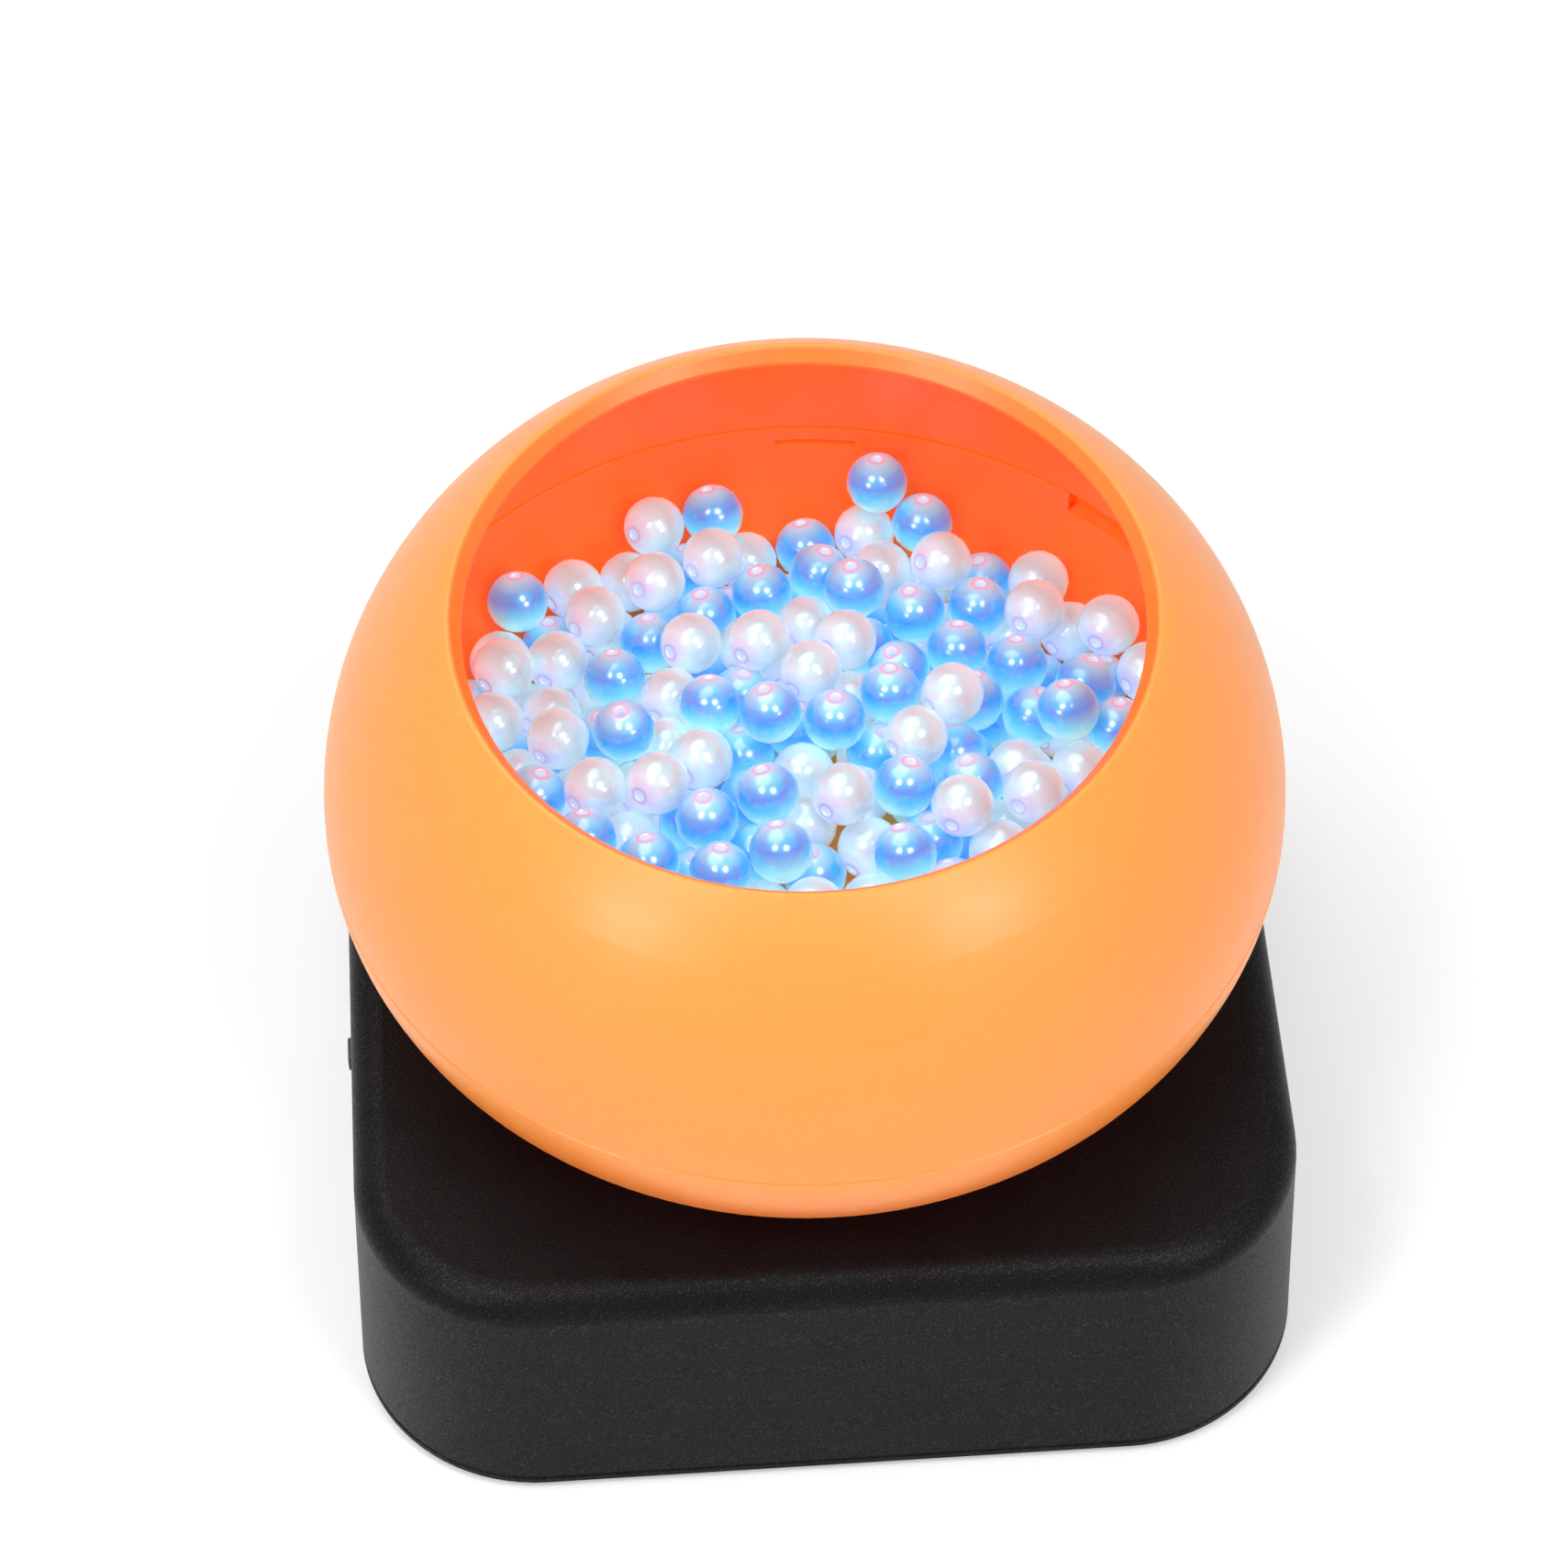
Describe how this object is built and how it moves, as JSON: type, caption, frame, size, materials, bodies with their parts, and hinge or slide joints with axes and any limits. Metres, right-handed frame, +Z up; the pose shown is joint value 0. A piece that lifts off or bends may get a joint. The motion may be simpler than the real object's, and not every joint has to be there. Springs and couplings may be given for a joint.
{
  "type": "bead spinner",
  "caption": "Electric bead spinner: a round bowl of beads turned on a geared spindle by a square battery base; the bowl's upper ring twists off and the bowl lifts off its hub.",
  "frame": {"origin": "centre of the footprint, at the underside of the rubber feet; the spindle's axis is the Z axis", "axes": "+Z up along the spindle, +X to the user's right, -Y the front face shown in the picture, the switch in the -X wall and the power socket in the +Y wall"},
  "size_m": [0.12, 0.12, 0.0995],
  "materials": {
    "base_plastic": "fine spark-eroded texture",
    "bowl_plastic": "satin, slightly translucent",
    "foot_rubber": "matt",
    "screw_steel": "zinc plated",
    "spindle_steel": "ground",
    "motor_steel": "plated sheet",
    "bronze": "sintered",
    "natural_nylon": "smooth",
    "chassis_plastic": "smooth",
    "hub_plastic": "smooth",
    "door_plastic": "fine spark-eroded texture",
    "cell_jacket": "plain printed sleeve without words",
    "nickel": "nickel plated",
    "board_laminate": "solder mask",
    "component_plastic": "moulded",
    "lead_insulation": "smooth",
    "bead_blue": "pearl coated",
    "bead_white": "pearl coated"
  },
  "bodies": {
    "base": {"base_housing": "base_plastic", "bottom_cover": "base_plastic", "battery_door": "door_plastic", "rubber_feet": "foot_rubber", "cover_screws": "screw_steel", "battery_door_screw": "screw_steel", "battery_cells": "cell_jacket", "battery_contacts": "nickel", "gear_chassis": "chassis_plastic", "chassis_screws": "screw_steel", "motor_case": "motor_steel", "motor_end_cap": "component_plastic", "motor_terminals": "nickel", "motor_screws": "screw_steel", "upper_bush": "bronze", "lower_bush": "bronze", "thrust_washer": "natural_nylon", "switch_frame": "nickel", "switch_screws": "screw_steel", "control_board": "board_laminate", "board_components": "component_plastic", "board_screws": "screw_steel", "power_socket": "component_plastic", "socket_pin": "nickel", "motor_leads": "lead_insulation", "battery_leads": "lead_insulation", "switch_leads": "lead_insulation"},
    "spindle": {"spindle_shaft": "spindle_steel", "drive_gear": "natural_nylon", "drive_hub": "hub_plastic", "hub_screw": "screw_steel", "retaining_clip": "spindle_steel"},
    "motor_rotor": {"motor_shaft": "spindle_steel", "pinion": "bronze"},
    "bowl": {"lower_bowl": "bowl_plastic", "blue_beads": "bead_blue", "white_beads": "bead_white"},
    "bowl_cover": {"upper_bowl": "bowl_plastic"},
    "speed_switch": {"switch_knob": "hub_plastic"}
  },
  "joints": [
    {"name": "spindle_spin", "type": "hinge", "parent": "base", "child": "spindle", "pos_m": [0, 0, 0.04], "axis": [0, 0, 1], "continuous": true},
    {"name": "motor_spin", "type": "hinge", "parent": "base", "child": "motor_rotor", "pos_m": [-0.0288, 0, 0.02], "axis": [0, 0, 1], "continuous": true},
    {"name": "bowl_lift", "type": "slide", "parent": "spindle", "child": "bowl", "axis": [0, 0, 1], "range_m": [0, 0.03]},
    {"name": "cover_twist", "type": "hinge", "parent": "bowl", "child": "bowl_cover", "pos_m": [0, 0, 0.0651], "axis": [0, 0, 1], "range_deg": [-43.8, 0]},
    {"name": "switch_slide", "type": "slide", "parent": "base", "child": "speed_switch", "axis": [0, -1, 0], "range_m": [0, 0.004]}
  ],
  "couplings": [
    {"joint": "motor_spin", "follows": "spindle_spin", "ratio": -5}
  ]
}
